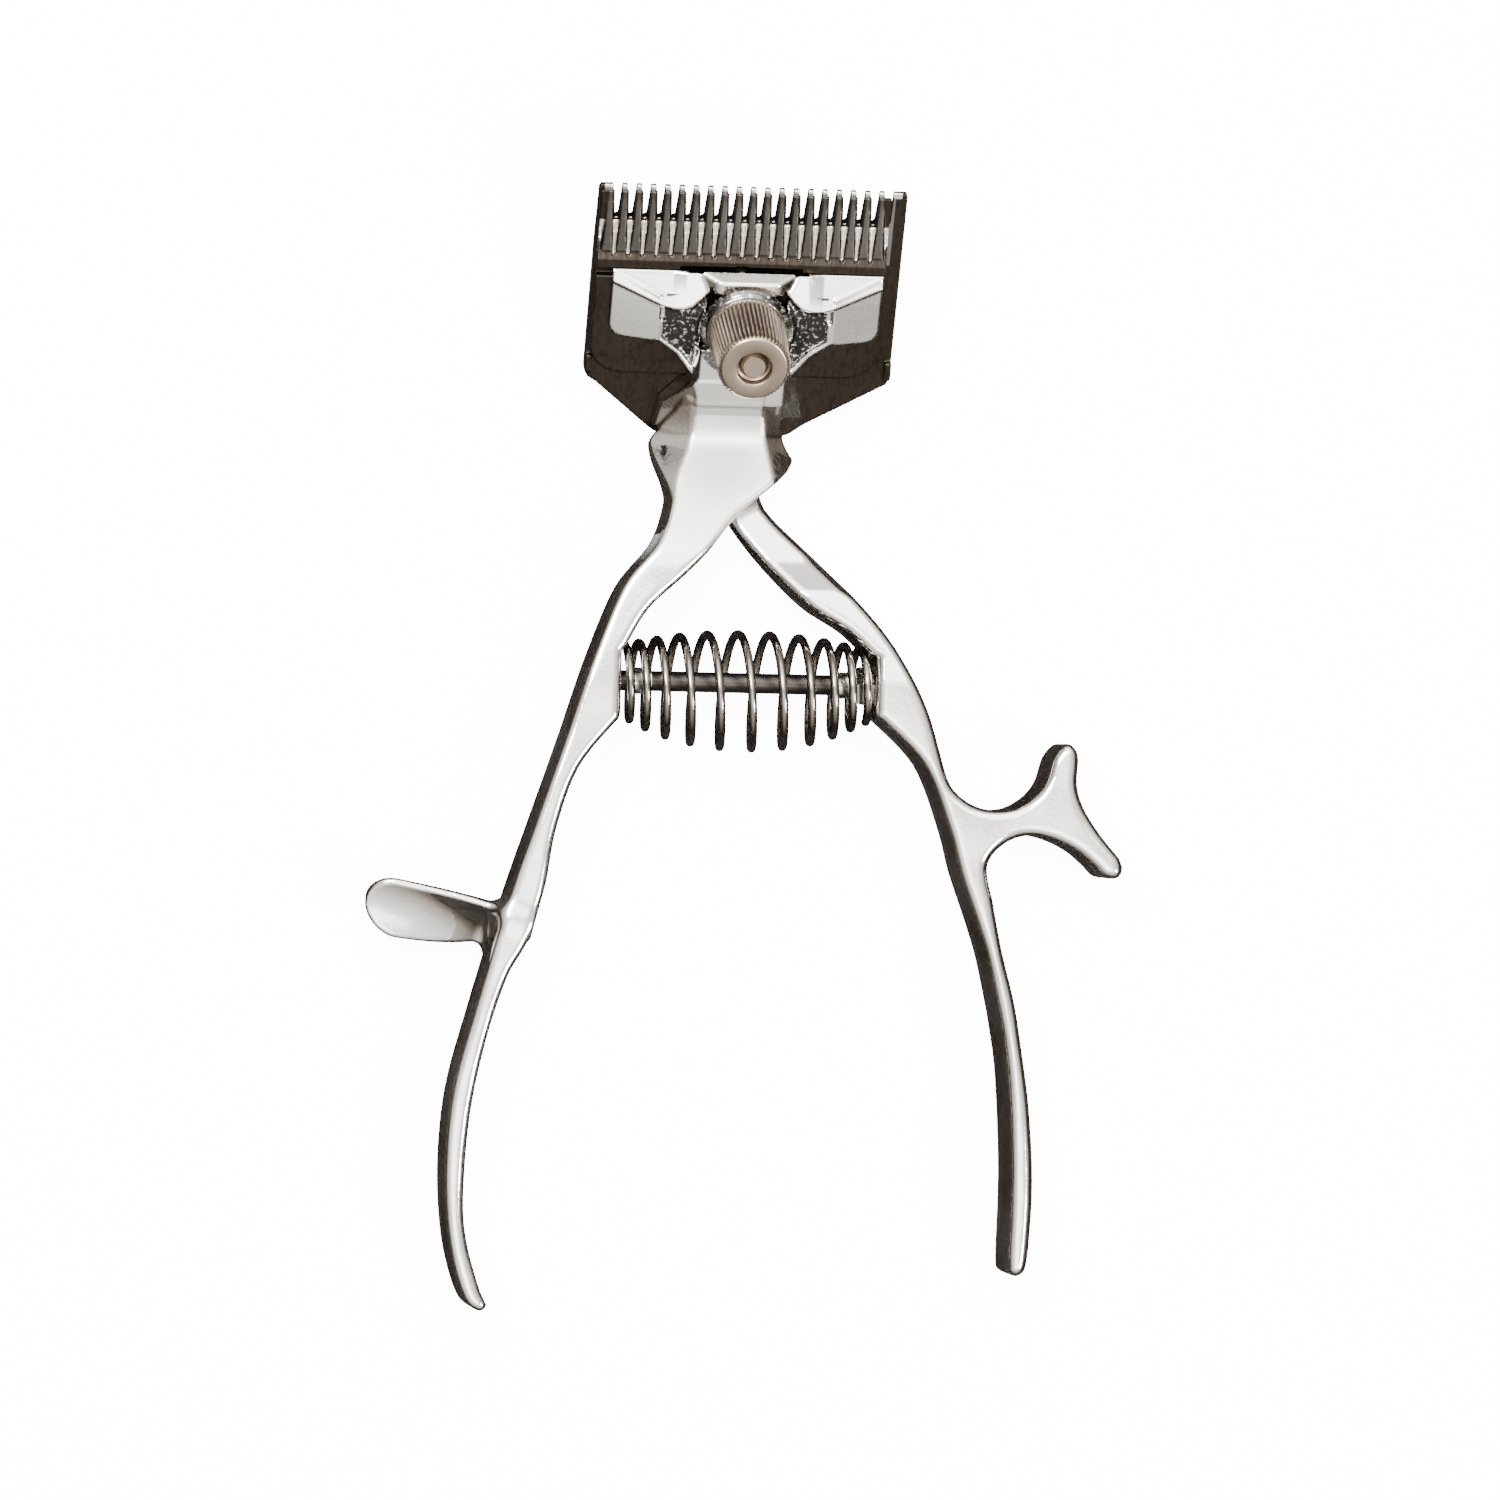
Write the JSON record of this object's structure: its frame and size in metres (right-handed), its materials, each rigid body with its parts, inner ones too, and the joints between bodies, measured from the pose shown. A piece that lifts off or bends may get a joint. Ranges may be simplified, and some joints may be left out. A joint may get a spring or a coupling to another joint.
{
  "type": "hand clipper",
  "caption": "Hand-squeezed hair clipper: two polished handles with finger rests, a barrel return spring, and a toothed cutter sliding on a toothed comb plate.",
  "frame": {"origin": "middle of the clipper's outline, on the table it lies on", "axes": "+Z is the table normal, +Y points towards the teeth, +X points to the moving handle"},
  "size_m": [0.1116, 0.1651, 0.029],
  "materials": {
    "handle_chrome": "bright polished plating, lightly worn",
    "blade_steel": "ground and browned",
    "nut_nickel": "worn nickel plate, knurled side",
    "spring_steel": "dark drawn wire, polished",
    "bright_steel": "bright turned steel",
    "rod_steel": "near-black oiled steel"
  },
  "bodies": {
    "frame": {"fixed_handle": "handle_chrome", "comb_plate": "blade_steel", "centre_stud": "nut_nickel", "pivot_bush": "bright_steel", "heel_screw_left": "spring_steel", "heel_screw_right": "spring_steel", "seat_washer": "bright_steel", "tension_spring": "spring_steel", "return_spring": "spring_steel"},
    "cutter": {"cutter_plate": "blade_steel"},
    "lever": {"moving_handle": "handle_chrome", "drive_pin": "bright_steel"},
    "rod": {"guide_rod": "rod_steel", "rod_ferrule": "bright_steel"},
    "sleeve": {"guide_sleeve": "bright_steel"},
    "nut_carrier": {"thrust_washer": "bright_steel"},
    "nut": {"thumb_nut": "nut_nickel"}
  },
  "joints": [
    {"name": "squeeze", "type": "hinge", "parent": "frame", "child": "lever", "pos_m": [-0.0024, 0.0648, 0.0096], "axis": [0, -0.4894, 0.8721], "range_deg": [-15.08, 0], "stiffness_Nm_per_rad": 4, "springref_deg": 8.59, "deforming": ["return_spring"]},
    {"name": "cutter_slide", "type": "slide", "parent": "frame", "child": "cutter", "axis": [1, 0, 0], "range_m": [0, 0.0021]},
    {"name": "rod_swivel", "type": "hinge", "parent": "frame", "child": "rod", "pos_m": [-0.0218, 0.0098, 0.0099], "axis": [0, -0.4894, 0.8721], "range_deg": [-7.6, 0]},
    {"name": "sleeve_swivel", "type": "hinge", "parent": "lever", "child": "sleeve", "pos_m": [0.017, 0.0098, 0.0099], "axis": [0, -0.4894, 0.8721], "range_deg": [0, 7.6]},
    {"name": "nut_travel", "type": "slide", "parent": "frame", "child": "nut_carrier", "axis": [0, -0.4894, 0.8721], "range_m": [-0.00017, 0.0014], "deforming": ["tension_spring"]},
    {"name": "nut_turn", "type": "hinge", "parent": "nut_carrier", "child": "nut", "pos_m": [-0.0024, 0.0648, 0.0096], "axis": [0, -0.4894, 0.8721], "range_deg": [-91, 721]}
  ],
  "couplings": [
    {"joint": "cutter_slide", "follows": "squeeze", "m_per_rad": -0.00797},
    {"joint": "rod_swivel", "follows": "squeeze", "ratio": 0.5},
    {"joint": "sleeve_swivel", "follows": "squeeze", "ratio": -0.5},
    {"joint": "nut_turn", "follows": "nut_travel", "rad_per_m": 8976}
  ]
}
